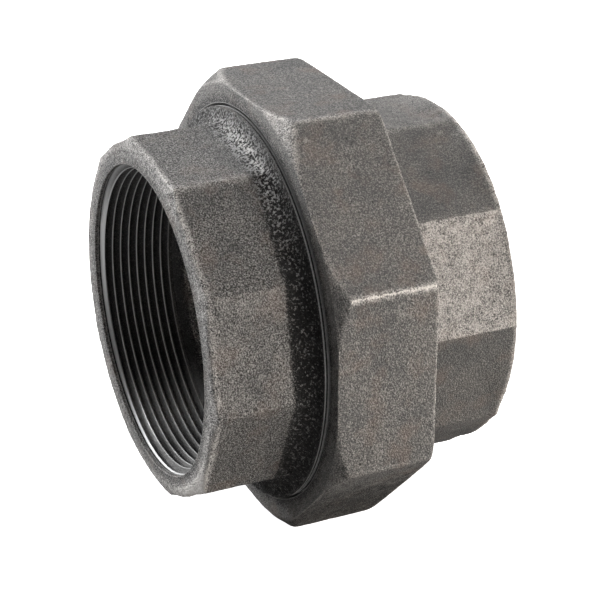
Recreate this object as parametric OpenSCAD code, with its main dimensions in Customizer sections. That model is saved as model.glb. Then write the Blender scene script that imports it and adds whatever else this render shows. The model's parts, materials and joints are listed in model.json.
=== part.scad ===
// Pipe union for 4 inch taper pipe thread: two threaded ends pulled together
// by a loose octagon nut against a ball joint on a brass seat ring.
// The pipe axis is X. The origin is on that axis, halfway between the two
// pipe ends. +Z is up and square to one of the nut's flats.

/* [Overall] */
// Length over both pipe ends
overall_l = 114.5; // [112:0.5:120]
// Radius of the as-cast waterway
waterway_r = 51.5; // [50:0.5:52]

/* [Pipe thread] */
// Radius of the pipe thread's crests, at the middle of its taper
pipe_crest_r = 54; // [53.6:0.1:54.4]
// Length of the pipe thread behind its countersink
pipe_thread_l = 27; // [20:0.5:28]
// Radius of the countersink at its wide end
countersink_r = 56; // [55.6:0.1:56.6]
// Depth of the short straight bore outside the countersink
step_depth = 2.1; // [1.6:0.1:2.4]

/* [Pipe ends] */
// Number of wrench flats on each pipe end
end_flats = 10; // [10:2:12]
// Size of a pipe end across its flats
end_af = 126.5; // [125:0.5:127]
// Turn of the threaded body's flats about the pipe axis, in degrees
body_turn = 6.9; // [-18:0.1:18]
// Turn of the tailpiece's flats about the pipe axis, in degrees
tail_turn = -4; // [-18:0.1:18]
// Depth of the rim chamfer, which is cut at 30 degrees to the end face
end_chamfer = 1.5; // [0.8:0.1:2]

/* [Union nut] */
// Size of the nut across its eight flats
nut_af = 157.5; // [156:0.5:162]
// Width of the nut along the pipe axis
nut_w = 36.7; // [36:0.1:38]
// Distance from the origin to the nut's open face
nut_face_x = -19.1; // [-20:0.1:-18.5]
// Depth of the chamfer at the nut's corners on its open face
nut_chamfer = 4.8; // [3:0.1:6]
// Radius of the nut's mouth at its open face
nut_mouth_r = 73.3; // [73:0.1:75]
// Thickness of the lip that holds the tailpiece's shoulder
lip_w = 8; // [6:0.5:9]
// Radius of the hole through the lip
lip_r = 67.6; // [67.4:0.1:68]

/* [Union thread] */
// Radius of the union thread's crests on the threaded body
union_crest_r = 71.3; // [71:0.1:71.4]
// Pitch of the union thread, 8 threads to the inch
union_pitch = 3.175; // [3:0.025:3.3]
// Depth of a union thread from crest to root
union_thread_h = 1.5; // [1:0.1:1.8]
// Number of union threads on the body
union_threads = 5; // [4:1:5]
// Radial clearance between the two sets of thread crests
union_clearance = 0.05; // [0.03:0.01:0.1]

/* [Collar] */
// Width of the plain collar behind the union thread
collar_w = 3; // [2:0.1:3.5]
// Distance that the collar stands out of the nut's open face
collar_out = 1.6; // [1:0.1:3]
// Radius of the concave fillet that rises from the flats to the collar
fillet_r = 8.8; // [8.7:0.05:9]

/* [Joint seat] */
// Outer radius of the brass seat ring
seat_r = 60; // [59:0.5:61]
// Width of the seat ring along the pipe axis
seat_w = 9; // [9:0.5:10]
// Radial squeeze of the seat ring in its pocket
seat_press = 0.03; // [0.01:0.01:0.05]
// Clearance between the ball nose and the cone of the seat
seat_gap = 0.02; // [0.01:0.01:0.05]
// Thickness of the tailpiece's shoulder
shoulder_w = 7; // [6:0.5:7.5]
// Radius of the tailpiece's shoulder
shoulder_r = 69.6; // [69.2:0.1:70]

/* [Hidden] */
$fn = 96;

iron = [0.25, 0.24, 0.23];
brass = [0.76, 0.6, 0.3];

// How far a cutting tool runs past the face that it opens
over = 1;
// Radius where the turned sections stop, inside every bore
core_r = 40;
// Flat left on the crest of every union thread
crest_flat = 0.45;
nut_flats = 8;
// How much wider the short straight bore is than the countersink
step_w = 0.4;
// Where the threaded body ends, and the chamfer there
body_end_x = 1;
body_end_chamfer = 1;
// How far the nut's mouth tapers inwards before its thread
mouth_depth = 2.7;
// How deep the seat ring sits in the threaded body
seat_recess = 2;
// Flat rim outside the seat's cone
seat_rim = 1.5;
// Radial room round the ball nose
nose_room = 1;

half_l = overall_l / 2;
nut_back_x = nut_face_x + nut_w;
lip_face_x = nut_back_x - lip_w;

// Mouth of a pipe end, measured inwards from its end face
step_r = countersink_r + step_w;
countersink_end = step_depth + countersink_r - pipe_crest_r;
thread_end = countersink_end + pipe_thread_l;
runout_end = thread_end + pipe_crest_r - waterway_r;

// Threaded body
collar_x = nut_face_x - collar_out;
// The fillet starts just under the flats, so that its round meets them at an angle
fillet_sink = 0.25;
collar_r = end_af / 2 + fillet_r - fillet_sink;
body_thread_x = body_end_x - (union_threads + 0.5) * union_pitch;

// Nut: its thread starts behind the mouth and ends at the shoulder's recess
nut_crest_r = union_crest_r + union_clearance;
nut_thread_x = nut_face_x + mouth_depth;
nut_thread_end = nut_thread_x + union_threads * union_pitch + crest_flat;
recess_r = nut_crest_r + union_thread_h;

// Seat: a 45 degree cone, touched half way along by the tailpiece's ball
seat_face_x = body_end_x - seat_recess;
pocket_x = seat_face_x - seat_w;
cone_rim_r = seat_r - seat_rim;
cone_w = cone_rim_r - waterway_r;
touch_x = seat_face_x - cone_w / 2;
touch_r = cone_rim_r - cone_w / 2;
ball_x = touch_x + touch_r;
ball_r = touch_r * sqrt(2) - seat_gap;
nose_r = seat_r - nose_room;
nose_x = touch_x - cone_w;
shoulder_x = lip_face_x - shoulder_w;

// A solid of revolution about the X axis. Each point is [x, radius].
module turned(points) {
    rotate([0, 90, 0])
        rotate_extrude()
            polygon([for (p = points) [p[1], p[0]]]);
}

// A round bar about the X axis, from x0 to x1.
module bar(x0, x1, r) {
    translate([x0, 0, 0])
        rotate([0, 90, 0])
            cylinder(h = x1 - x0, r = r);
}

// A bar with flats about the X axis. One flat faces +Z, turned by turn degrees.
module flats_bar(x0, x1, flats, across_flats, turn) {
    corner_r = across_flats / 2 / cos(180 / flats);
    step = 360 / flats;
    translate([x0, 0, 0])
        rotate([turn, 0, 0])
            rotate([0, 90, 0])
                linear_extrude(height = x1 - x0)
                    polygon([for (i = [0 : flats - 1])
                        corner_r * [cos(step * (i + 0.5)), sin(step * (i + 0.5))]]);
}

// Section points of a run of V grooves from x, each depth away from crest_r.
// A negative depth cuts towards the axis.
function grooves(x, crest_r, depth, pitch, count) =
    [for (i = [0 : count - 1])
        for (p = [[0, 0], [(pitch - crest_flat) / 2, depth], [pitch - crest_flat, 0]])
            [x + crest_flat + i * pitch + p[0], crest_r + p[1]]];

// The space inside a threaded pipe end whose face is at x = 0, going to +X.
// The thread is a plain bore at its crests, because a pipe's end seats on those.
module pipe_thread_space() {
    turned([
        [-over, core_r],
        [-over, step_r],
        [step_depth, step_r],
        [step_depth, countersink_r],
        [countersink_end, pipe_crest_r],
        [thread_end, pipe_crest_r],
        [runout_end, waterway_r],
        [runout_end, core_r]
    ]);
}

// A pipe end with flats and a chamfered rim, whose face is at x = 0, length l.
module pipe_end(l, turn) {
    corner_r = end_af / 2 / cos(180 / end_flats);
    intersection() {
        flats_bar(0, l, end_flats, end_af, turn);
        turned([
            [0, core_r],
            [0, corner_r - end_chamfer / tan(30)],
            [end_chamfer, corner_r],
            [l + over, corner_r + over],
            [l + over, core_r]
        ]);
    }
}

// The concave fillet that rises from a pipe end's flats to the collar.
module collar_fillet() {
    rotate([0, 90, 0])
        rotate_extrude()
            difference() {
                translate([core_r, collar_x - fillet_r])
                    square([collar_r - core_r, fillet_r]);
                translate([collar_r, collar_x - fillet_r])
                    circle(r = fillet_r);
            }
}

// The collar and the union thread behind it.
module union_thread_bar() {
    turned(concat(
        [
            [collar_x, core_r],
            [collar_x, collar_r],
            [collar_x + collar_w, collar_r],
            [collar_x + collar_w, union_crest_r]
        ],
        grooves(body_thread_x, union_crest_r, -union_thread_h, union_pitch, union_threads),
        [
            [body_end_x - body_end_chamfer, union_crest_r],
            [body_end_x, union_crest_r - body_end_chamfer],
            [body_end_x, core_r]
        ]
    ));
}

// Threaded body: pipe thread inside, union thread outside, pocket for the seat.
module union_body() {
    color(iron)
        difference() {
            union() {
                translate([-half_l, 0, 0])
                    pipe_end(collar_x + half_l + over, body_turn);
                collar_fillet();
                union_thread_bar();
            }
            translate([-half_l, 0, 0])
                pipe_thread_space();
            bar(-half_l - over, body_end_x + over, waterway_r);
            bar(pocket_x, body_end_x + over, seat_r);
        }
}

// Brass seat ring, pressed into the threaded body.
module seat_ring() {
    color(brass)
        turned([
            [pocket_x, waterway_r],
            [pocket_x, seat_r + seat_press],
            [seat_face_x, seat_r + seat_press],
            [seat_face_x, cone_rim_r],
            [seat_face_x - cone_w, waterway_r]
        ]);
}

// Octagon nut: mouth and union thread on one side, holding lip on the other.
module union_nut() {
    nut_corner_r = nut_af / 2 / cos(180 / nut_flats);
    color(iron)
        difference() {
            intersection() {
                flats_bar(nut_face_x, nut_back_x, nut_flats, nut_af, 0);
                turned([
                    [nut_face_x, core_r],
                    [nut_face_x, nut_corner_r - nut_chamfer],
                    [nut_face_x + nut_chamfer, nut_corner_r],
                    [nut_back_x + over, nut_corner_r + over],
                    [nut_back_x + over, core_r]
                ]);
            }
            turned(concat(
                [
                    [nut_face_x - over, core_r],
                    [nut_face_x - over, nut_mouth_r],
                    [nut_face_x, nut_mouth_r],
                    [nut_thread_x, nut_crest_r]
                ],
                grooves(nut_thread_x, nut_crest_r, union_thread_h, union_pitch, union_threads),
                [
                    [nut_thread_end, nut_crest_r],
                    [nut_thread_end, recess_r],
                    [lip_face_x, recess_r],
                    [lip_face_x, core_r]
                ]
            ));
            bar(lip_face_x - over, nut_back_x + over, lip_r);
        }
}

// Tailpiece: ball nose and shoulder inside the nut, pipe thread at its free end.
module tailpiece() {
    color(iron)
        difference() {
            union() {
                intersection() {
                    bar(nose_x, lip_face_x, nose_r);
                    translate([ball_x, 0, 0])
                        sphere(r = ball_r);
                }
                bar(shoulder_x, lip_face_x, shoulder_r);
                translate([half_l, 0, 0])
                    mirror([1, 0, 0])
                        pipe_end(half_l - lip_face_x + over, -tail_turn);
            }
            translate([half_l, 0, 0])
                mirror([1, 0, 0])
                    pipe_thread_space();
            bar(nose_x - over, half_l + over, waterway_r);
        }
}

union_body();
seat_ring();
union_nut();
tailpiece();
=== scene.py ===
"""Looks for a 4 inch pipe union: sand-cast black iron skins, cut threads and a brass seat ring.

Each of the four pieces is one closed skin wound round the pipe axis (X). Shapes are worked
out in millimetres and stored in metres. Angles run from +Z towards -Y, which is the
right-hand sense about +X, so a thread that climbs with the angle is right-handed.
"""

import json
import math

import bmesh
import bpy
import numpy as np
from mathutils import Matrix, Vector


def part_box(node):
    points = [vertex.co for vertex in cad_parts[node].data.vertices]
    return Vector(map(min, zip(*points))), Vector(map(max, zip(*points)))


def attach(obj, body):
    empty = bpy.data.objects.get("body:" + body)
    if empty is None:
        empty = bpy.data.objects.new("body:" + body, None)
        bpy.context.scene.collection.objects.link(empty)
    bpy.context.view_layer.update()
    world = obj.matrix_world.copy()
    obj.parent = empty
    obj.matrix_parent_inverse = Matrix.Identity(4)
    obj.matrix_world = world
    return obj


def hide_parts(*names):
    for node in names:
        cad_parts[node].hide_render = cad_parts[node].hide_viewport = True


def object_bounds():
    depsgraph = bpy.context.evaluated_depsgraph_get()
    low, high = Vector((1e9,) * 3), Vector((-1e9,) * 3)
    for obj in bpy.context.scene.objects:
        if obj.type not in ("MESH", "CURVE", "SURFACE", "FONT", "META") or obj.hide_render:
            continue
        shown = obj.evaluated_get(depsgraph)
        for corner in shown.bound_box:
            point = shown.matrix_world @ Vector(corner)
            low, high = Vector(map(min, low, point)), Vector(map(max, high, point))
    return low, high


MM = 0.001
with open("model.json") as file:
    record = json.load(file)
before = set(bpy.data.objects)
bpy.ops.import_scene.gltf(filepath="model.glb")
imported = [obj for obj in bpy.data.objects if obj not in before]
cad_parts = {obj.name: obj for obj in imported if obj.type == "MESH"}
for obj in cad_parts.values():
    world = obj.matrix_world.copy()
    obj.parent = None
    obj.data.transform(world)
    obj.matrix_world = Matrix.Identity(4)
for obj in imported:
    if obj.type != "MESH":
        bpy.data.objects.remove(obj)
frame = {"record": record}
cad_low, cad_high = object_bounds()


# ---------------------------------------------------------------- sizes, in millimetres

def box_mm(node):
    low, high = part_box(node)
    return low / MM, high / MM


def mount(name):
    return next(m for m in frame["record"]["mounts"] if m["name"] == name)


body_low, body_high = box_mm("union_body")
nut_low, nut_high = box_mm("union_nut")
tail_low, tail_high = box_mm("tailpiece")
seat_low, seat_high = box_mm("seat_ring")
thread_mount = mount("body_pipe_thread")

# Points round a skin, for each side of a pipe end or of the nut, and how they crowd to the corners
END_COLUMNS = 64
NUT_COLUMNS = 90
CROWDING = 0.45

# Skins: points nearer than this are welded (in metres), and sharper edges than this are creases
WELD_DISTANCE = 2e-6
CREASE = math.radians(38)

# Height of the cast roughness
END_RELIEF = 0.085
NUT_RELIEF = 0.075
BORE_RELIEF = 0.12

# Pipe ends
END_SIDES = 10
END_APOTHEM = 63.25
END_CORNER = 3.0
BODY_TURN = 6.9
TAIL_TURN = -4.0
RIM_ROUND = 2.1
RIM_CHAMFER = 1.6
RIM_BATTERED = 0.8
# Wear on a rim's chamfer, to which painted sheen on the lower front is added
RIM_BRIGHT = 0.5
WATERWAY = 51.5
WATERWAY_END = 2.5
end_corner_r = END_APOTHEM / math.cos(math.pi / END_SIDES)

# Low round bead at a rim: its height, how uneven that is, and the angle where it is highest
BEAD_WIDTH = 11.0
BODY_BEAD = (0.95, 0.9, 248)
TAIL_BEAD = (2.1, 0.5, 25)

# Painted sheen on the flats, from the top flat towards the front; the others have none
BODY_FLAT_SHEEN = (0.04, 0.0, 0.11)
TAIL_FLAT_SHEEN = (0.18, 0.0, 0.46)

# Pipe mouth: a short straight bore, a shallow groove painted dark as shade, and a light land, measured
# in from the end face
MOUTH_RADIUS = 56.0
MOUTH_BORE = 1.5
MOUTH_LINE = 0.4
LAND_START = 2.15
LAND_RADIUS = 54.6

# Pipe thread: 8 to the inch, tapering 1 in 16 on the diameter
PITCH = 25.4 / 8
TAPER = 1 / 32
PIPE_DEPTH = 2.35
CREST_FLAT = 0.26
CREST_POLISH = 0.16
ROOT_FLAT = 0.3
FIRST_CREST = 4.0
pipe_crest = thread_mount["dims"]["r_mm"]
pipe_thread_end = abs(thread_mount["pos_m"][0]) / MM - thread_mount["dims"]["length_mm"] / 2

# Nut
NUT_SIDES = 8
NUT_CORNER = 2.6
NUT_CHAMFER = 4.8
NUT_BACK_CHAMFER = 1.2
NUT_MOUTH = 72.7
NUT_THREAD_START = 2.7
NUT_THREAD_LENGTH = 17.5
LIP_WIDTH = 8.0
LIP_HOLE = 67.6
nut_apothem = nut_high.z
nut_corner_r = nut_apothem / math.cos(math.pi / NUT_SIDES)

# Union thread: the radii are the body's, and the nut's are UNION_GAP outside them
UNION_DEPTH = 1.75
UNION_CREST = 71.5
UNION_CREST_FLAT = 0.55
UNION_ROOT_FLAT = 0.6
UNION_GAP = 0.15
UNION_START = -2.0
UNION_LEAD = 1.9
UNION_RECESS = 0.4

# Body's collar, which stands out of the nut, and the fillet up to it
COLLAR_PROUD = 1.6
COLLAR_WIDTH = 3.0
COLLAR_RADIUS = 71.8
COLLAR_GROOVE = 0.35
COLLAR_STEP = 0.05
FILLET = 8.8
collar_x = nut_low.x - COLLAR_PROUD

# Tailpiece's shoulder, and the ball nose against the seat ring
SHOULDER_WIDTH = 7.0
SHOULDER_EDGE = 0.4
NOSE_GAP = 1.0
SEAT_RIM = 1.5
SEAT_CLEARANCE = 0.03

# Floor paper: its size in metres, the light it throws back and how bright it looks
FLOOR_SIZE = 6
FLOOR_BOUNCE = 0.35
FLOOR_GLOW = 1.0

# Camera: angles in degrees, lens and sensor in millimetres, the rest in metres
CAMERA_AZIMUTH = -24.4
CAMERA_ELEVATION = 24.9
CAMERA_LENS = 107.7
CAMERA_SENSOR = 36
CAMERA_DISTANCE = 0.665
CAMERA_SHIFT = Vector((0.0043, 0.0031, -0.0049))

# Lights, in metres, and the room's strength as a light and as the camera sees it
SOFTBOX_SIZE = 0.55
SOFTBOX_DISTANCE = 1.1
ROOM_LIGHT = 0.04
ROOM_SEEN = 1.0
WARM = (1.0, 0.94, 0.87)


# ---------------------------------------------------------------- noise

# Odd numbers that scramble a lattice cell's x, y, z and seed, and then stir the result
SCRAMBLE = (374761393, 668265263, 2147483647, 974634777)
STIR = 1274126177

# Cast roughness: weight and wavelength of each layer of noise
WAVES = ((0.9, 17), (0.5, 7))
GRAINS = ((1.0, 2.6), (0.8, 1.4))
PIT_WAVELENGTH = 3.3
PIT_LEVEL = 0.62
PIT_DEPTH = 6


def lattice_noise(points, wavelength, seed):
    """Smooth noise from -1 to 1 at each point, the same on every run."""
    p = points / wavelength
    cell = np.floor(p).astype(np.int64)
    f = p - cell
    f = f * f * (3 - 2 * f)
    total = np.zeros(len(points))
    for corner in np.ndindex(2, 2, 2):
        c = cell + corner
        h = c[:, 0] * SCRAMBLE[0] + c[:, 1] * SCRAMBLE[1] + c[:, 2] * SCRAMBLE[2] + seed * SCRAMBLE[3]
        h = (h ^ (h >> 13)) * STIR
        h = ((h ^ (h >> 16)) & 0xFFFF) / 32767.5 - 1
        weight = np.prod(np.where(corner, f, 1 - f), axis=1)
        total += weight * h
    return total


def layered_noise(points, layers, seed):
    """The sum of the layers, each with its own seed from seed up."""
    total = np.zeros(len(points))
    for i, (weight, wavelength) in enumerate(layers):
        total += weight * lattice_noise(points, wavelength, seed + i)
    return total


def smooth_max(a, b, blend):
    """The larger of a and b, with the crease between them rounded over about blend."""
    return 0.5 * (a + b + np.sqrt((a - b) ** 2 + blend**2))


def smooth_min(a, b, blend):
    return -smooth_max(-a, -b, blend)


def ease(t):
    """0 up to t = 0, 1 from t = 1, and an even curve between."""
    t = np.clip(t, 0, 1)
    return t * t * (3 - 2 * t)


# ---------------------------------------------------------------- skins

def polygon_radius(theta, sides, apothem, corner, turn):
    """Radius of a regular polygon with rounded corners. One side faces +Z, turned by turn degrees."""
    half = math.pi / sides
    phi = np.abs((theta - math.radians(turn) + half) % (2 * half) - half)
    centre = (apothem - corner) / math.cos(half)
    tangent = math.atan((apothem - corner) * math.tan(half) / apothem)
    off = half - phi
    arc = centre * np.cos(off) + np.sqrt(np.maximum(corner**2 - (centre * np.sin(off)) ** 2, 0))
    return np.where(phi < tangent, apothem / np.cos(phi), arc)


def edge_closeness(theta, sides, turn, width_deg):
    """1 on a polygon's corner lines, falling to 0 at width_deg from them."""
    half = 180 / sides
    phi = np.abs((np.degrees(theta) - turn + half) % (2 * half) - half)
    return ease(1 - (half - phi) / width_deg)


def facing(theta, centre, width):
    """1 where the angle is centre, easing to 0 at width from it. Both are in degrees."""
    away = np.abs((np.degrees(theta) - centre + 180) % 360 - 180)
    return ease(1 - away / width)


def columns(sides, turn, per_side, crowd=CROWDING):
    """Angles round the axis, per_side to a side, crowded towards the polygon's corners."""
    s = (np.arange(per_side) + 0.5) / per_side * 2 - 1
    s = s * (1 - crowd) + np.sin(s * math.pi / 2) * crowd
    side = s * math.pi / sides
    turns = np.arange(sides) * 2 * math.pi / sides
    theta = (turns[:, None] + side[None, :]).ravel() + math.radians(turn)
    return np.sort(theta % (2 * math.pi))


MARKS = ("relief", "lumps", "cut", "wear_and_sheen", "scale_and_shade")


class Skin:
    """A closed surface round the X axis, laid down ring by ring.

    A fine ring has a point at every angle, and the others at every second one. Each point
    carries relief and lumps (heights of the cast roughness, in mm) and three finish marks for
    the material: machining, rubbing together with painted highlights and sheen, and dark
    scale together with painted shade in roots, grooves, recesses, creases and undersides.
    """

    def __init__(self, theta):
        self.fine = theta
        self.coarse = theta[::2]
        self.blocks = []
        self.faces = []
        self.count = 0
        self.last = None
        self.first = None

    def points(self, x, r, theta, *marks):
        """Adds a point at each angle and gives their numbers."""
        rows = [np.broadcast_to(np.asarray(v, float), theta.shape) for v in (x, r, theta, *marks)]
        self.blocks.append(np.stack(rows, axis=1))
        index = np.arange(self.count, self.count + len(theta))
        self.count += len(theta)
        return index

    def quads(self, a, b):
        a2, b2 = np.roll(a, -1), np.roll(b, -1)
        self.faces += np.stack([a, a2, b2, b], axis=1).tolist()

    def stitch(self, fine, coarse):
        """Joins a ring to one with half as many points."""
        n = len(coarse)
        f0, f1, f2 = fine[0::2], fine[1::2], np.roll(fine, -2)[0::2]
        c0, c1 = coarse, np.roll(coarse, -1)
        for i in range(n):
            self.faces.append([f0[i], f1[i], c0[i]])
            self.faces.append([f1[i], c1[i], c0[i]])
            self.faces.append([f1[i], f2[i], c1[i]])

    def join(self, index):
        """Joins a ring to the last one laid down."""
        if self.last is not None:
            if len(self.last) == len(index):
                self.quads(self.last, index)
            elif len(self.last) > len(index):
                self.stitch(self.last, index)
            else:
                self.stitch(index, self.last)
        else:
            self.first = index
        self.last = index

    def ring(self, x, r, fine=False, relief=0.0, lumps=0.0, cut=0.0, wear_and_sheen=0.0, scale_and_shade=0.0):
        theta = self.fine if fine else self.coarse
        self.join(self.points(x, r, theta, relief, lumps, cut, wear_and_sheen, scale_and_shade))

    def thread(self, x_from, x_to, x_ref, phases, shape, finish):
        """Helical rows from x_from to x_to, at the given places within each pitch.

        shape(x, u) gives the radius and finish(x, u) the marks; u is 0 on a crest.
        """
        theta = self.coarse
        low, high = min(x_from, x_to), max(x_from, x_to)
        first = math.floor((low - x_ref) / PITCH) - 1
        turns = math.ceil((high - low) / PITCH) + 2
        starts = [first + turn + u for turn in range(turns) for u in phases]
        step = len(phases)
        if x_from > x_to:
            starts.reverse()
            step = -step

        rows = []
        for start in starts:
            x = np.clip(x_ref + (start + theta / (2 * math.pi)) * PITCH, low, high)
            u = ((x - x_ref) / PITCH - theta / (2 * math.pi)) % 1
            cut, wear_and_sheen, scale_and_shade = finish(x, u)
            rows.append(self.points(x, shape(x, u), theta, 0.0, 0.0, cut, wear_and_sheen, scale_and_shade))
        self.join(rows[0])

        # After a full turn a row runs on into the one a pitch further along
        last = len(rows) - 1
        for i in range(last):
            wrap0 = rows[min(max(i + step, 0), last)][0]
            wrap1 = rows[min(max(i + 1 + step, 0), last)][0]
            a = np.append(rows[i], wrap0)
            b = np.append(rows[i + 1], wrap1)
            self.faces += np.stack([a[:-1], a[1:], b[1:], b[:-1]], axis=1).tolist()
        self.last = rows[last]

    def close(self):
        """Joins the last ring to the first."""
        self.join(self.first)

    def build(self, name, seed, material):
        """The mesh object: welded, with its cast relief raised along the normals."""
        data = np.concatenate(self.blocks)
        x, r, theta = data[:, 0], data[:, 1], data[:, 2]
        co = np.stack([x, -r * np.sin(theta), r * np.cos(theta)], axis=1) * MM
        mesh = bpy.data.meshes.new(name)
        mesh.from_pydata(co, [], self.faces)
        for i, mark in enumerate(MARKS):
            layer = mesh.attributes.new(mark, "FLOAT", "POINT")
            layer.data.foreach_set("value", data[:, 3 + i].astype(np.float32))
        weld(mesh)
        raise_relief(mesh, seed)
        mark_creases(mesh)
        piece = bpy.data.objects.new(name, mesh)
        bpy.context.scene.collection.objects.link(piece)
        mesh.materials.append(material)
        return piece


def weld(mesh):
    bm = bmesh.new()
    bm.from_mesh(mesh)
    bmesh.ops.remove_doubles(bm, verts=bm.verts, dist=WELD_DISTANCE)
    bmesh.ops.recalc_face_normals(bm, faces=bm.faces)
    bm.to_mesh(mesh)
    bm.free()


def read_mark(mesh, mark):
    """One mark's value at every point of the mesh."""
    values = np.empty(len(mesh.vertices), np.float32)
    mesh.attributes[mark].data.foreach_get("value", values)
    return values


def raise_relief(mesh, seed):
    """Sand-cast roughness: broad waves and pits scaled by relief, and coarse grains scaled by lumps."""
    co = np.empty(len(mesh.vertices) * 3)
    mesh.vertices.foreach_get("co", co)
    co = co.reshape(-1, 3)
    normal = np.empty(len(mesh.vertices) * 3)
    mesh.vertices.foreach_get("normal", normal)
    normal = normal.reshape(-1, 3)
    p = co / MM
    wave = layered_noise(p, WAVES, seed)
    grain = layered_noise(p, GRAINS, seed + 2)
    pits = PIT_DEPTH * np.maximum(lattice_noise(p, PIT_WAVELENGTH, seed + 4) - PIT_LEVEL, 0)
    height = read_mark(mesh, "relief") * (wave + 0.75 * grain - pits) + read_mark(mesh, "lumps") * grain
    co = co + normal * height[:, None] * MM
    mesh.vertices.foreach_set("co", co.ravel())
    mesh.update()


def mark_creases(mesh):
    """Smooth shading everywhere but over the sharp edges."""
    bm = bmesh.new()
    bm.from_mesh(mesh)
    for face in bm.faces:
        face.smooth = True
    for edge in bm.edges:
        edge.smooth = edge.calc_face_angle(0) < CREASE
    bm.to_mesh(mesh)
    bm.free()


# ---------------------------------------------------------------- threads

def thread_depth(u, depth, crest_flat, root_flat):
    """Depth of a truncated V thread at place u in a pitch: 0 on the crest, depth on the root."""
    away = np.minimum(u, 1 - u) * PITCH
    flank = (PITCH - crest_flat - root_flat) / 2
    return depth * np.clip((away - crest_flat / 2) / flank, 0, 1)


def thread_phases(crest_flat, root_flat):
    """Places in a pitch where rows go: the flats' edges, and just off the crest for its polish."""
    c = crest_flat / 2 / PITCH
    d = c + CREST_POLISH / PITCH
    g = 0.5 - root_flat / 2 / PITCH
    return [c, d, g, 1 - g, 1 - d, 1 - c]


def crest_nearness(u, flat):
    """1 on a crest's flat, easing to 0 a little way down the flanks."""
    away = np.minimum(u, 1 - u) * PITCH
    return ease(1 - (away - flat / 2) / CREST_POLISH)


def pipe_thread(skin, end_x, inward):
    """The tapered thread in a pipe end, laid from the inside out. inward is +1 or -1 along X.

    Depths t are measured in from the end face. The thread fades out over its last 1.5 pitches.
    The crests carry a painted highlight, strongest on the wall towards +Y, and a strip low down
    gets a painted glint. Painted shade fills the roots, more on the flanks away from the mouth,
    and lies on the land away from the +Y wall.
    """
    depth_end = abs(end_x) - pipe_thread_end
    # Painted highlight on the crests, strongest towards +Y, and a painted glint low down
    polish_and_highlight = 0.25 + 0.6 * facing(skin.coarse, 272, 95)
    painted_glint = facing(skin.coarse, 204, 26)

    def land(t):
        return MOUTH_RADIUS - (t - LAND_START)

    def shape(x, u):
        t = (x - end_x) * inward
        crest = pipe_crest + (depth_end / 2 - t) * TAPER
        fade = ease((depth_end - t) / (1.5 * PITCH))
        cutter = crest + fade * thread_depth(u, PIPE_DEPTH, CREST_FLAT, ROOT_FLAT)
        return np.maximum(cutter, land(t))

    def finish(x, u):
        t = (x - end_x) * inward
        on_land = ease((land(t) - LAND_RADIUS) / 0.5)
        crest = crest_nearness(u, CREST_FLAT) * ease((depth_end - t) / (2 * PITCH))
        cut = np.maximum(0.6 + 0.4 * crest, on_land)
        wear_and_sheen = polish_and_highlight * np.maximum(0.85 * crest, on_land)
        wear_and_sheen = np.maximum(wear_and_sheen, painted_glint * (1 - on_land) * (0.25 + 0.75 * crest))
        # Painted shade in the roots, more on the flank away from the mouth, less under the painted
        # glint
        faces_mouth = (u > 0.5) if inward > 0 else (u < 0.5)
        scale_and_shade = (1 - crest) * (1 - on_land) * (1 - 0.3 * faces_mouth) * (1 - 0.85 * painted_glint)
        return cut, wear_and_sheen, scale_and_shade + 0.4 * (1 - polish_and_highlight) * on_land

    x_deep = end_x + inward * depth_end
    x_land = end_x + inward * LAND_START
    x_ref = end_x + inward * FIRST_CREST
    skin.thread(x_deep, x_land, x_ref, thread_phases(CREST_FLAT, ROOT_FLAT), shape, finish)


def union_thread(skin, x_from, x_to, crest, root_side, chamfer):
    """The thread between nut and body. root_side is -1 for the body's thread and +1 for the nut's.

    The nut's crests start half a pitch on, so that they run in the body's roots. chamfer is how
    far the crests are cut back at both ends.
    """
    low, high = min(x_from, x_to), max(x_from, x_to)
    x_ref = UNION_START + (PITCH / 2 if root_side > 0 else 0)

    def shape(x, u):
        r = crest + root_side * thread_depth(u, UNION_DEPTH, UNION_CREST_FLAT, UNION_ROOT_FLAT)
        limit = crest + root_side * (chamfer - np.minimum(x - low, high - x))
        if root_side > 0:
            return np.maximum(r, limit)
        return np.minimum(r, limit)

    def finish(x, u):
        # Painted shade in the roots, and a crest highlight that is part wear and part painted
        near = crest_nearness(u, UNION_CREST_FLAT)
        return 1.0, 0.4 * near, 0.75 * (1 - near)

    phases = thread_phases(UNION_CREST_FLAT, UNION_ROOT_FLAT)
    skin.thread(x_from, x_to, x_ref, phases, shape, finish)


# ---------------------------------------------------------------- the pieces

def flat_sheen(theta, turn, by_flat):
    """Painted sheen on each flat. by_flat runs from the top flat towards the front; the rest are 0.

    The third flat gets a little more painted highlight along its upper edge.
    """
    side = 360 / END_SIDES
    flat = np.round((np.degrees(theta) - turn) / side).astype(int) % END_SIDES
    wear_and_sheen = np.append(by_flat, np.zeros(END_SIDES))[flat]
    return wear_and_sheen + 0.08 * (flat == 2) * facing(theta, turn + 1.5 * side, 0.3 * side)


def rim_drop(t):
    """How far the rounded rim of an end face falls back at depth t."""
    left = max(RIM_ROUND - t, 0)
    return RIM_ROUND - math.sqrt(RIM_ROUND**2 - left**2)


def end_outline(theta, turn, t, bead):
    """A pipe end at depth t from its face, with flats, a low round bead, chamfer and rim.

    The chamfer is deeper low on the front, where the rim is battered, and the rim is crisper
    where the bead is highest.
    Gives the radius, and 1 where that is on the chamfer and 0 where it is on the flats.
    """
    flats = polygon_radius(theta, END_SIDES, END_APOTHEM, END_CORNER, turn)
    height = bead[0] * (1 + bead[1] * np.cos(theta - math.radians(bead[2])))
    flats = smooth_max(flats, END_APOTHEM + height * (1 - t / BEAD_WIDTH), 0.4)
    crisp = 0.65 * facing(theta, bead[2], 60)
    chamfer = RIM_CHAMFER * (1 - crisp) + RIM_BATTERED * facing(theta, 155, 50)
    cone = end_corner_r + (t - chamfer) * math.sqrt(3)
    return smooth_min(flats, cone, 0.5) - rim_drop(t) * (1 - crisp), ease((flats - cone) / 0.8 + 0.5)


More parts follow.
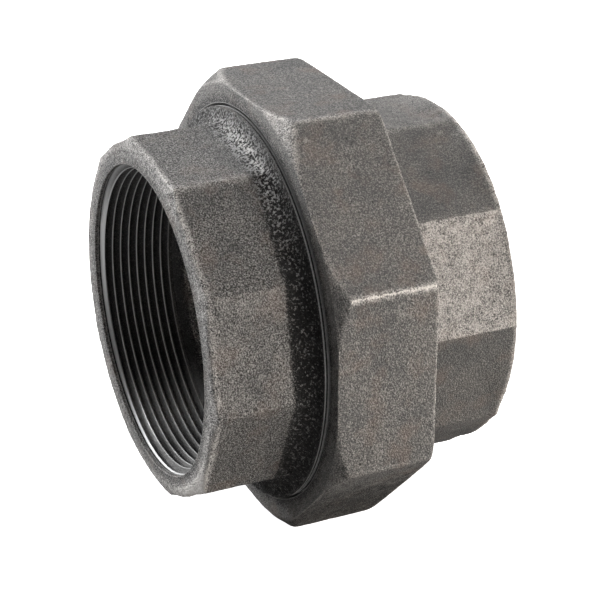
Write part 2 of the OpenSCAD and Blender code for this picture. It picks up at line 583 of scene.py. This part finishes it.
def pipe_end_rows(skin, end_x, inward, to_x, turn, bead, by_flat):
    """Rows over an end face, its rounded rim and the flats, from the face inwards."""
    theta = skin.fine
    length = abs(to_x - end_x)
    corners = edge_closeness(theta, END_SIDES, turn, 2.6)
    flat_sheen_amount = flat_sheen(theta, turn, by_flat)
    upper = facing(theta, 20, 70)
    lower = facing(theta, 135, 60)
    cone_wear_and_sheen = RIM_BRIGHT + 0.29 * lower

    # The end face, from just outside the mouth. It is rubbed all over but next to the mouth, and
    # painted sheen makes it brighter on the lower front.
    face_r, _ = end_outline(theta, turn, 0, bead)
    inner_r = MOUTH_RADIUS + 0.7
    rows = 7
    for i in range(rows):
        r = inner_r + (face_r - inner_r) * i / rows
        off_mouth = ease((r - MOUTH_RADIUS - 1.5) / 2.5)
        wear_and_sheen = (0.22 + 0.35 * lower) * off_mouth
        skin.ring(end_x, r, fine=True, relief=END_RELIEF, lumps=0.05 * off_mouth, wear_and_sheen=wear_and_sheen)

    # The rounded rim, at even steps of angle, with a painted highlight along it, stronger on the upper
    # side, and painted sheen on the lower front and on the chamfer
    depths = [RIM_ROUND * (1 - math.cos(math.radians(15 * i))) for i in range(7)]
    for i, t in enumerate(depths):
        rim_highlight = math.exp(-(((i - 4.3) / 1.7) ** 2))
        r, on_cone = end_outline(theta, turn, t, bead)
        wear_and_sheen = 0.2 + 0.52 * rim_highlight * (0.4 + 0.6 * upper) + 0.42 * lower
        wear_and_sheen = np.maximum(wear_and_sheen, cone_wear_and_sheen * on_cone)
        skin.ring(end_x + inward * t, r, fine=True, relief=END_RELIEF, lumps=0.05, wear_and_sheen=wear_and_sheen)

    # The flats: rubbed next to the rim, with painted highlights on the upper corners and painted sheen
    # on some flats and on the chamfer where it cuts them
    steps = int((length - RIM_ROUND) / 0.85)
    for i in range(1, steps + 1):
        t = RIM_ROUND + (length - RIM_ROUND) * i / steps
        near_rim = math.exp(-(t - RIM_ROUND) / 0.4)
        wear_and_sheen = np.maximum(0.3 * corners * facing(theta, 25, 40), 0.3 * near_rim)
        r, on_cone = end_outline(theta, turn, t, bead)
        wear_and_sheen = np.maximum(wear_and_sheen, np.maximum(flat_sheen_amount, cone_wear_and_sheen * on_cone))
        skin.ring(end_x + inward * t, r, fine=True, relief=END_RELIEF, lumps=0.02, wear_and_sheen=wear_and_sheen)


def waterway_rows(skin, x_from, inward, first):
    """The cast bore to just short of the pipe thread, darkened by painted shade. Row 0 is at x_from,
    and first is laid first.
    """
    x_to = -inward * (pipe_thread_end - WATERWAY_END)
    rows = 8
    for i in range(first, rows + 1):
        skin.ring(x_from + (x_to - x_from) * i / rows, WATERWAY, relief=BORE_RELIEF, scale_and_shade=0.45)


def mouth_rows(skin, end_x, inward):
    """The shallow groove outside the land, painted black as shade, and the short straight bore, from
    the land to the end face.
    """
    line_r = MOUTH_RADIUS + MOUTH_LINE
    skin.ring(end_x + inward * (LAND_START - 0.1), line_r, scale_and_shade=1.0)
    skin.ring(end_x + inward * (MOUTH_BORE + 0.1), line_r, scale_and_shade=1.0)
    skin.ring(end_x + inward * MOUTH_BORE, MOUTH_RADIUS, cut=0.3, wear_and_sheen=0.5)
    skin.ring(end_x + inward * 0.8, MOUTH_RADIUS, relief=END_RELIEF * 0.4)
    skin.ring(end_x + inward * 0.2, MOUTH_RADIUS + 0.1, relief=END_RELIEF * 0.7, wear_and_sheen=0.2)
    skin.ring(end_x, MOUTH_RADIUS + 0.35, relief=END_RELIEF, wear_and_sheen=0.2)


def collar_rows(skin):
    """The turned collar with a groove round it painted black as shade, duller and darker where it faces
    up.
    """
    off_top = 1 - 0.9 * facing(skin.coarse, 5, 60)
    groove_r = COLLAR_RADIUS - COLLAR_GROOVE
    inner_r = COLLAR_RADIUS - COLLAR_STEP
    skin.ring(collar_x + 0.1, COLLAR_RADIUS, cut=0.6 * off_top, wear_and_sheen=0.8 * off_top)
    skin.ring(collar_x + 0.55, COLLAR_RADIUS, cut=0.8 * off_top, wear_and_sheen=0.5 * off_top)
    skin.ring(collar_x + 0.75, groove_r, cut=0.5, scale_and_shade=1.0)
    skin.ring(collar_x + 1.15, groove_r, cut=0.5, scale_and_shade=1.0)
    skin.ring(collar_x + 1.35, inner_r, cut=0.8, wear_and_sheen=0.5 * off_top)
    skin.ring(collar_x + 2.0, inner_r, cut=0.8, wear_and_sheen=0.3 * off_top)


def build_body(material):
    """The threaded body, from its end face over the outside and back through the bore."""
    skin = Skin(columns(END_SIDES, BODY_TURN, END_COLUMNS))
    end_x = body_low.x
    fillet_x = collar_x - FILLET
    pipe_end_rows(skin, end_x, 1, fillet_x, BODY_TURN, BODY_BEAD, BODY_FLAT_SHEEN)

    # The fillet up to the collar: crusted with scale and darkened by painted shade in the crease, less
    # on top, with a painted band of glints along its upper side
    theta = skin.fine
    flats = polygon_radius(theta, END_SIDES, END_APOTHEM, END_CORNER, BODY_TURN)
    rows = 28
    top = facing(theta, 5, 55)
    shade = 1 - 0.6 * top**0.7
    for i in range(1, rows + 1):
        t = i / rows
        a = math.radians(90 * t)
        rise = COLLAR_RADIUS - FILLET * math.cos(a)
        rough = ease(t / 0.35) * ease((1 - t) / 0.12)
        skin.ring(
            fillet_x + FILLET * math.sin(a),
            smooth_max(flats, rise, 0.8),
            fine=True,
            relief=END_RELIEF,
            lumps=0.02 + 0.3 * rough,
            wear_and_sheen=0.8 * facing(theta, 15, 50) * math.exp(-(((t - 0.5) / 0.2) ** 2)),
            scale_and_shade=shade * ease((t + 0.03) / (0.14 + 0.3 * top)) * ease((1.12 - t) / 0.2),
        )
    collar_rows(skin)

    # The union thread, with painted shade at its root behind the collar, and the seat ring's pocket,
    # with painted shade where it turns into the bore
    thread_x = collar_x + COLLAR_WIDTH
    skin.ring(thread_x, UNION_CREST - UNION_DEPTH, cut=0.8, scale_and_shade=0.8)
    union_thread(skin, thread_x + 0.2, body_high.x, UNION_CREST, -1, 0)
    skin.ring(body_high.x, UNION_CREST - 2.2, cut=1.0)
    skin.ring(body_high.x, seat_high.y + 0.6, cut=1.0)
    skin.ring(body_high.x - 0.4, seat_high.y, cut=1.0)
    skin.ring(seat_low.x, seat_high.y, cut=1.0)
    skin.ring(seat_low.x, WATERWAY, scale_and_shade=0.6, relief=0.05)

    waterway_rows(skin, seat_low.x, 1, 0)
    pipe_thread(skin, end_x, 1)
    mouth_rows(skin, end_x, 1)
    skin.close()
    return skin.build("body_skin", 11, material)


def build_tail(material):
    """The tailpiece, from its end face over the outside and the ball nose, back through the bore."""
    skin = Skin(columns(END_SIDES, TAIL_TURN, END_COLUMNS))
    end_x = tail_high.x
    lip_x = nut_high.x - LIP_WIDTH
    pipe_end_rows(skin, end_x, -1, lip_x + 0.4, TAIL_TURN, TAIL_BEAD, TAIL_FLAT_SHEEN)

    # The shoulder that the nut's lip bears on
    shoulder_r = tail_high.y
    back_x = lip_x - SHOULDER_WIDTH
    skin.ring(lip_x, END_APOTHEM + 3.4, cut=0.9)
    skin.ring(lip_x, shoulder_r - SHOULDER_EDGE, cut=0.9)
    skin.ring(lip_x - SHOULDER_EDGE, shoulder_r, cut=0.9, wear_and_sheen=0.4)
    skin.ring(back_x + SHOULDER_EDGE, shoulder_r, cut=0.9, wear_and_sheen=0.4)
    skin.ring(back_x, shoulder_r - SHOULDER_EDGE, cut=0.9)

    # The ball nose, which all but touches the seat's 45 degree cone halfway down it
    nose_r = seat_high.y - NOSE_GAP
    skin.ring(back_x, nose_r + 0.4, cut=1.0)
    rim_r = seat_high.y - SEAT_RIM
    touch_r = (rim_r + WATERWAY) / 2
    touch_x = seat_high.x - (rim_r - WATERWAY) / 2
    ball_x = touch_x + touch_r
    ball_r = touch_r * math.sqrt(2) - SEAT_CLEARANCE
    rows = 8
    for i in range(rows + 1):
        r = nose_r + (WATERWAY + 0.3 - nose_r) * i / rows
        skin.ring(ball_x - math.sqrt(ball_r**2 - r**2), r, cut=1.0, wear_and_sheen=0.3)
    nose_x = ball_x - math.sqrt(ball_r**2 - WATERWAY**2)
    # Painted shade where the nose turns into the bore
    skin.ring(nose_x + 0.5, WATERWAY, cut=0.8, scale_and_shade=0.3)

    waterway_rows(skin, nose_x, -1, 1)
    pipe_thread(skin, end_x, -1)
    mouth_rows(skin, end_x, -1)
    skin.close()
    return skin.build("tail_skin", 23, material)


def nut_outside(skin):
    """The nut's left face, chamfers, octagon and right face."""
    theta = skin.fine
    left, right = nut_low.x, nut_high.x
    corners = edge_closeness(theta, NUT_SIDES, 0, 1.5)
    polygon = polygon_radius(theta, NUT_SIDES, nut_apothem, NUT_CORNER, 0)

    def cone(x):
        return nut_corner_r - NUT_CHAMFER + (x - left)

    def outline(x):
        back = nut_corner_r - NUT_BACK_CHAMFER + (right - x)
        return smooth_min(smooth_min(polygon, cone(x), 0.9), back, 0.7)

    upper = facing(theta, 8, 75)
    front_edge = facing(theta, 67.5, 15)
    top_corner = facing(theta, 24, 28)
    underside = facing(theta, 142, 42)
    lower_front = facing(theta, 95, 65)

    def finish(x):
        """Wear and painted light at x: a painted highlight on the top corner's chamfer, edges rubbed
        and painted brighter above and on the front, and painted shade on the lower front chamfer and
        underneath.
        """
        on_chamfer = ease((polygon - cone(x)) / 0.6 + 0.5)
        edge = np.exp(-(((polygon - cone(x)) / 1.4) ** 2))
        wear_and_sheen = (0.1 + 0.9 * upper) * np.maximum(0.75 * edge, 0.7 * top_corner * on_chamfer)
        lines = corners * (0.15 + 0.25 * upper + 0.6 * front_edge) * (1 - on_chamfer)
        return np.maximum(wear_and_sheen, lines), np.maximum(0.45 * lower_front * on_chamfer, 0.75 * underside)

    # The left face, with painted shade round the mouth, low on the front and near the top, and its
    # corner, with painted sheen on its upper side
    inner_r = NUT_MOUTH + 0.3
    for i in range(6):
        r = inner_r + (outline(left) - 0.8 - inner_r) * i / 5
        scale_and_shade = 0.45 * lower_front + 0.4 * facing(theta, -2, 24) * (i > 2)
        scale_and_shade = np.maximum(scale_and_shade, 0.75 * (1 - i / 5))
        skin.ring(left, r, fine=True, relief=NUT_RELIEF * min(i, 3) / 3, wear_and_sheen=0.15, scale_and_shade=scale_and_shade)
    wear_and_sheen = 0.15 + 0.4 * upper
    skin.ring(left + 0.25, outline(left) - 0.2, fine=True, relief=NUT_RELIEF, wear_and_sheen=wear_and_sheen)

    # The chamfers and the octagon's sides
    steps = 48
    for i in range(1, steps):
        x = left + 0.25 + (right - left - 0.75) * i / steps
        wear_and_sheen, scale_and_shade = finish(x)
        skin.ring(x, outline(x), fine=True, relief=NUT_RELIEF, wear_and_sheen=wear_and_sheen, scale_and_shade=scale_and_shade)

    # The right face's corner and the face, down to the lip's hole
    skin.ring(right - 0.45, outline(right - 0.45), fine=True, relief=NUT_RELIEF, wear_and_sheen=0.35)
    skin.ring(right - 0.1, outline(right) - 0.25, fine=True, relief=NUT_RELIEF, wear_and_sheen=0.6)
    outer_r = outline(right) - 0.9
    for i in range(6):
        r = outer_r + (LIP_HOLE + 0.8 - outer_r) * i / 5
        skin.ring(right, r, fine=True, relief=NUT_RELIEF * (1 - i / 5))


def build_nut(material):
    """The nut, from its left face over the outside and back through the lip and the thread."""
    skin = Skin(columns(NUT_SIDES, 0, NUT_COLUMNS))
    left, right = nut_low.x, nut_high.x
    nut_outside(skin)

    # The lip that holds the tailpiece
    skin.ring(right, LIP_HOLE + 0.5, cut=0.9, wear_and_sheen=0.3)
    skin.ring(right - 0.5, LIP_HOLE, cut=0.9, wear_and_sheen=0.3)
    skin.ring(right - LIP_WIDTH + 0.3, LIP_HOLE, cut=0.9)
    skin.ring(right - LIP_WIDTH, LIP_HOLE + 0.3, cut=0.9)

    # The recess behind the thread, the thread and the mouth, with painted shade in the recess, in the
    # thread's roots and just inside the mouth
    recess_r = UNION_CREST + UNION_GAP + UNION_RECESS
    thread_from = left + NUT_THREAD_START
    thread_to = thread_from + NUT_THREAD_LENGTH
    skin.ring(right - LIP_WIDTH, recess_r, cut=0.9, scale_and_shade=0.3)
    skin.ring(thread_to, recess_r, cut=0.9, scale_and_shade=0.4)
    crest = UNION_CREST - UNION_DEPTH + UNION_GAP
    union_thread(skin, thread_to, thread_from, crest, 1, UNION_LEAD)
    skin.ring(left + 0.9, NUT_MOUTH - 0.45, cut=0.7, scale_and_shade=0.25)
    skin.ring(left, NUT_MOUTH, cut=0.5, wear_and_sheen=0.3)
    skin.close()
    return skin.build("nut_skin", 37, material)


def build_seat(material):
    """The seat ring, with a 45 degree cone that is bright where the ball nose bears on it."""
    skin = Skin(columns(12, 0, 30, 0))
    low, high = seat_low.x, seat_high.x
    outer = seat_high.y - 0.05
    rim_r = seat_high.y - SEAT_RIM
    skin.ring(low, outer - 0.4, cut=1.0)
    skin.ring(low + 0.4, outer, cut=1.0)
    skin.ring(high - 0.3, outer, cut=1.0)
    skin.ring(high, outer - 0.3, cut=1.0)
    skin.ring(high, rim_r, cut=1.0)
    rows = 8
    for i in range(1, rows + 1):
        t = i / rows
        r = rim_r + (WATERWAY - rim_r) * t
        contact = math.exp(-(((t - 0.5) / 0.12) ** 2))
        skin.ring(high - (rim_r - r), r, cut=1.0, wear_and_sheen=contact)
    skin.ring(low, WATERWAY, cut=1.0)
    skin.close()
    return skin.build("seat_ring_turned", 51, material)


# ---------------------------------------------------------------- materials

class Nodes:
    """Short names for the shader nodes used below. Sizes of patterns are in millimetres."""

    def __init__(self, name):
        self.material = bpy.data.materials.new(name)
        self.material.use_nodes = True
        self.tree = self.material.node_tree
        self.shader = self.tree.nodes["Principled BSDF"]
        self.place = self.tree.nodes.new("ShaderNodeTexCoord").outputs["Object"]

    def add(self, kind, *values, **props):
        """A node of this kind with its properties set and its inputs filled in order."""
        node = self.tree.nodes.new("ShaderNode" + kind)
        for key, value in props.items():
            setattr(node, key, value)
        for slot, value in zip(node.inputs, values):
            self.put(slot, value)
        return node

    def put(self, slot, value):
        """Links the input to a socket, or sets it to a plain value. None leaves it alone."""
        if isinstance(value, bpy.types.NodeSocket):
            self.tree.links.new(value, slot)
        elif value is not None:
            slot.default_value = value

    def noise(self, size, detail=2.0, rough=0.5):
        node = self.add("TexNoise")
        self.put(node.inputs["Vector"], self.place)
        self.put(node.inputs["Scale"], 1 / (size * MM))
        self.put(node.inputs["Detail"], detail)
        self.put(node.inputs["Roughness"], rough)
        return node.outputs["Fac"]

    def cells(self, size):
        node = self.add("TexVoronoi")
        self.put(node.inputs["Vector"], self.place)
        self.put(node.inputs["Scale"], 1 / (size * MM))
        return node.outputs["Distance"]

    def mark(self, name):
        node = self.add("Attribute", attribute_name=name)
        return node.outputs["Fac"]

    def math(self, operation, *values):
        return self.add("Math", *values, operation=operation).outputs[0]

    def span(self, value, low, high, out_low=0.0, out_high=1.0):
        """value stretched so that low..high becomes out_low..out_high, clamped."""
        return self.add("MapRange", value, low, high, out_low, out_high).outputs[0]

    def blend(self, factor, a, b):
        """Colour a where factor is 0 and b where it is 1."""
        node = self.add("MixRGB", factor)
        self.put(node.inputs["Color1"], a)
        self.put(node.inputs["Color2"], b)
        return node.outputs["Color"]

    def set(self, **values):
        """Fills the shader's inputs. An underscore in a name stands for a space."""
        for name, value in values.items():
            self.put(self.shader.inputs[name.replace("_", " ")], value)


def gray(level, warmth=0.0):
    """A gray, or a slightly brown one if warmth is above 0."""
    return (level * (1 + warmth), level, level * (1 - warmth), 1)


def cast_iron(name, level, warmth, sparkle):
    """Black malleable iron: gritty sand-cast skin, rubbed edges, dark scale, cut metal."""
    n = Nodes(name)
    patches = n.noise(14, 3)
    mottle = n.noise(3.5, 3, 0.6)
    grit = n.noise(0.5, 2, 0.6)
    grains = n.cells(0.7)
    cut, wear_and_sheen, scale_and_shade = n.mark("cut"), n.mark("wear_and_sheen"), n.mark("scale_and_shade")

    # Bare cast skin: broad tones, dark and light grains, blotches and a trace of rust
    tone = n.blend(n.span(patches, 0.35, 0.65), gray(level * 0.85, -0.01), gray(level * 1.1, warmth))
    dark = n.blend(n.span(grit, 0.36, 0.5), gray(level * (1 - 0.8 * sparkle)), tone)
    skin = n.blend(n.span(grit, 0.5, 0.66), dark, gray(level * (1 + 2.4 * sparkle), warmth))
    skin = n.blend(n.span(mottle, 0.62, 0.75, 0, 0.3), skin, gray(level * 0.6))
    skin = n.blend(n.span(patches, 0.5, 0.34, 0, 0.3), skin, gray(level * 0.6))
    rust = (level * 1.9, level * 1.35, level * 1.1, 1)
    skin = n.blend(n.span(n.noise(11, 3, 0.6), 0.52, 0.68, 0, 0.3), skin, rust)

    # Rubbed places, bright specks and pits
    gritty = n.math("ADD", grit, n.math("MULTIPLY", mottle, 0.6))
    rub = n.math("MULTIPLY", wear_and_sheen, n.span(gritty, 0.6, 0.92))
    rub = n.math("MAXIMUM", rub, n.span(n.noise(8, 5, 0.65), 0.64, 0.72, 0, 0.22))
    bare = n.span(n.math("ADD", wear_and_sheen, n.math("MULTIPLY", gritty, 0.6)), 1.08, 1.22, 0, 0.85)
    skin = n.blend(n.math("MAXIMUM", rub, bare), skin, gray(0.62, warmth))
    pits = n.span(n.cells(4.5), 0.05, 0.11, 0.75, 0)
    skin = n.blend(pits, skin, gray(level * 0.3))

    # Scale and painted shade: a crust with painted glints where the skin is lumpy, and a ragged dark
    # film elsewhere. The glints are brighter where the rubbing and sheen mark is high.
    crust = n.noise(0.9, 3, 0.65)
    crusty = n.math("MULTIPLY", n.span(n.mark("lumps"), 0.05, 0.16), n.span(scale_and_shade, 0.02, 0.12))
    edge = n.math("ADD", n.span(scale_and_shade, 0, 1, 0.41, 0.57), n.span(mottle, 0.3, 0.7, -0.04, 0.04))
    clear = n.math("SUBTRACT", crust, edge)
    ragged = n.span(n.math("ADD", scale_and_shade, n.span(mottle, 0.3, 0.7, -0.3, 0.3)), 0.25, 0.75)
    film = n.math("MULTIPLY", ragged, n.span(scale_and_shade, 0.02, 0.12))
    film = n.math("MULTIPLY", film, n.span(grit, 0.5, 0.62, 1.0, 0.4))
    scale = n.add("Mix", crusty, None, film, n.span(clear, -0.03, 0.03, 1, 0)).outputs[0]
    skin = n.blend(scale, skin, gray(0.008))
    glints = n.math("MULTIPLY", crusty, n.span(clear, 0.02, 0.09, 0, 0.7))
    skin = n.blend(glints, skin, n.blend(wear_and_sheen, gray(0.32), gray(0.9)))

    # Cut metal: dull, with painted shade in the roots, and bright on the crests from wear and painted
    # highlights
    metal = n.blend(n.span(mottle, 0.4, 0.6), gray(0.16), gray(0.24))
    metal = n.blend(n.math("MULTIPLY", scale_and_shade, 0.93), metal, gray(0.01))
    metal = n.blend(wear_and_sheen, metal, gray(0.95, -0.01))
    color = n.blend(cut, skin, metal)

    rough_cast = n.span(grit, 0.4, 0.7, 0.75, 0.42)
    rough_cut = n.span(wear_and_sheen, 0.1, 0.7, 0.6, 0.38)
    rough = n.add("Mix", cut, None, rough_cast, rough_cut).outputs[0]

    # Fine roughness, far weaker on cut metal
    height = n.math("ADD", grit, n.math("MULTIPLY", grains, -0.55))
    height = n.math("ADD", height, n.math("MULTIPLY", mottle, 0.6))
    height = n.math("SUBTRACT", height, pits)
    height = n.math("ADD", height, n.math("MULTIPLY", crusty, n.math("MULTIPLY", crust, 2.5)))
    bump = n.add("Bump")
    n.put(bump.inputs["Strength"], n.span(cut, 0, 1, 0.95, 0.06))
    n.put(bump.inputs["Distance"], (0.45 + 0.35 * sparkle) * MM)
    n.put(bump.inputs["Height"], height)
    metallic = n.span(cut, 0, 1, 0.25, 0.5)
    n.set(Base_Color=color, Roughness=rough, Metallic=metallic, Normal=bump.outputs["Normal"])
    return n.material


def turned_brass(name):
    """Dull turned brass with fine tool marks and tarnish."""
    n = Nodes(name)
    tarnish = n.noise(6, 3)
    grain = n.noise(0.6, 2)
    wear_and_sheen = n.mark("wear_and_sheen")
    color = n.blend(n.span(tarnish, 0.35, 0.7), (0.5, 0.36, 0.15, 1), (0.3, 0.2, 0.09, 1))
    color = n.blend(wear_and_sheen, color, (0.72, 0.56, 0.28, 1))
    bump = n.add("Bump")
    n.put(bump.inputs["Strength"], 0.15)
    n.put(bump.inputs["Distance"], 0.1 * MM)
    n.put(bump.inputs["Height"], grain)
    rough = n.span(grain, 0.3, 0.7, 0.28, 0.45)
    n.set(Base_Color=color, Roughness=rough, Metallic=1.0, Normal=bump.outputs["Normal"])
    return n.material


def studio_paper(name):
    """Near-white paper to the eye, that throws back only part of the light onto the fitting."""
    n = Nodes(name)
    fibre = n.noise(2, 2)
    seen = n.add("LightPath").outputs["Is Camera Ray"]
    color = n.blend(seen, gray(FLOOR_BOUNCE), n.blend(fibre, gray(0.86), gray(0.9)))
    glow = n.math("MULTIPLY", seen, FLOOR_GLOW)
    n.set(Base_Color=color, Roughness=0.85, Emission_Color=gray(1.0), Emission_Strength=glow)
    return n.material


# ---------------------------------------------------------------- stage

def add_floor():
    bpy.ops.mesh.primitive_plane_add(size=FLOOR_SIZE, location=(0, 0, nut_low.z * MM))
    floor = bpy.context.object
    floor.name = "floor"
    floor.data.materials.append(studio_paper("floor_paper"))


def add_camera():
    """A long lens on the fitting, at the photo's angle."""
    azimuth, elevation = math.radians(CAMERA_AZIMUTH), math.radians(CAMERA_ELEVATION)
    aim = (cad_low + cad_high) / 2 + CAMERA_SHIFT
    back = Vector((
        math.sin(azimuth) * math.cos(elevation),
        -math.cos(azimuth) * math.cos(elevation),
        math.sin(elevation),
    ))
    data = bpy.data.cameras.new("camera")
    data.lens = CAMERA_LENS
    data.sensor_width = CAMERA_SENSOR
    camera = bpy.data.objects.new("camera", data)
    bpy.context.scene.collection.objects.link(camera)
    camera.location = aim + back * CAMERA_DISTANCE
    camera.rotation_euler = (-back).to_track_quat("-Z", "Y").to_euler()
    bpy.context.scene.camera = camera


def soft_light(name, toward, power, color=(1, 1, 1)):
    """A square softbox that stands in the direction toward, facing the fitting."""
    data = bpy.data.lights.new(name, "AREA")
    data.shape = "SQUARE"
    data.size = SOFTBOX_SIZE
    data.energy = power
    data.color = color
    light = bpy.data.objects.new(name, data)
    bpy.context.scene.collection.objects.link(light)
    place = Vector(toward).normalized() * SOFTBOX_DISTANCE
    light.location = place
    light.rotation_euler = (-place).to_track_quat("-Z", "Y").to_euler()
    light.visible_camera = False


def light_room():
    """A pale room with softboxes behind and low in front, and little from overhead."""
    world = bpy.data.worlds.new("room")
    bpy.context.scene.world = world
    world.use_nodes = True
    tree = world.node_tree
    path = tree.nodes.new("ShaderNodeLightPath")
    ramp = tree.nodes.new("ShaderNodeMapRange")
    ramp.inputs["To Min"].default_value = ROOM_LIGHT
    ramp.inputs["To Max"].default_value = ROOM_SEEN
    tree.links.new(path.outputs["Is Camera Ray"], ramp.inputs["Value"])
    tree.links.new(ramp.outputs[0], tree.nodes["Background"].inputs["Strength"])
    tree.nodes["Background"].inputs["Color"].default_value = (1, 1, 1, 1)
    soft_light("back_low", (-0.6, 0.75, 0.15), 15)
    soft_light("back_left", (-0.45, 0.55, 0.6), 3)
    soft_light("back_top", (0.1, 0.7, 0.7), 11)
    soft_light("overhead", (0.1, -0.4, 0.8), 3)
    soft_light("front_right", (0.39, -0.89, 0.18), 14, WARM)
    soft_light("right_low", (0.9, -0.4, 0.1), 5.5, WARM)


def fit(piece, body, node):
    """Hangs a piece on its body, in the place of its CAD node."""
    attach(piece, body)
    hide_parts(node)


bpy.context.scene.view_settings.view_transform = "Standard"
iron_body = cast_iron("iron_body", 0.08, 0.035, 1.0)
iron_nut = cast_iron("iron_nut", 0.1, 0.045, 0.5)
iron_tail = cast_iron("iron_tail", 0.085, 0.05, 0.4)
brass = turned_brass("seat_brass")

fit(build_body(iron_body), "threaded_body", "union_body")
fit(build_seat(brass), "threaded_body", "seat_ring")
fit(build_tail(iron_tail), "tail", "tailpiece")
fit(build_nut(iron_nut), "nut", "union_nut")

add_floor()
add_camera()
light_room()
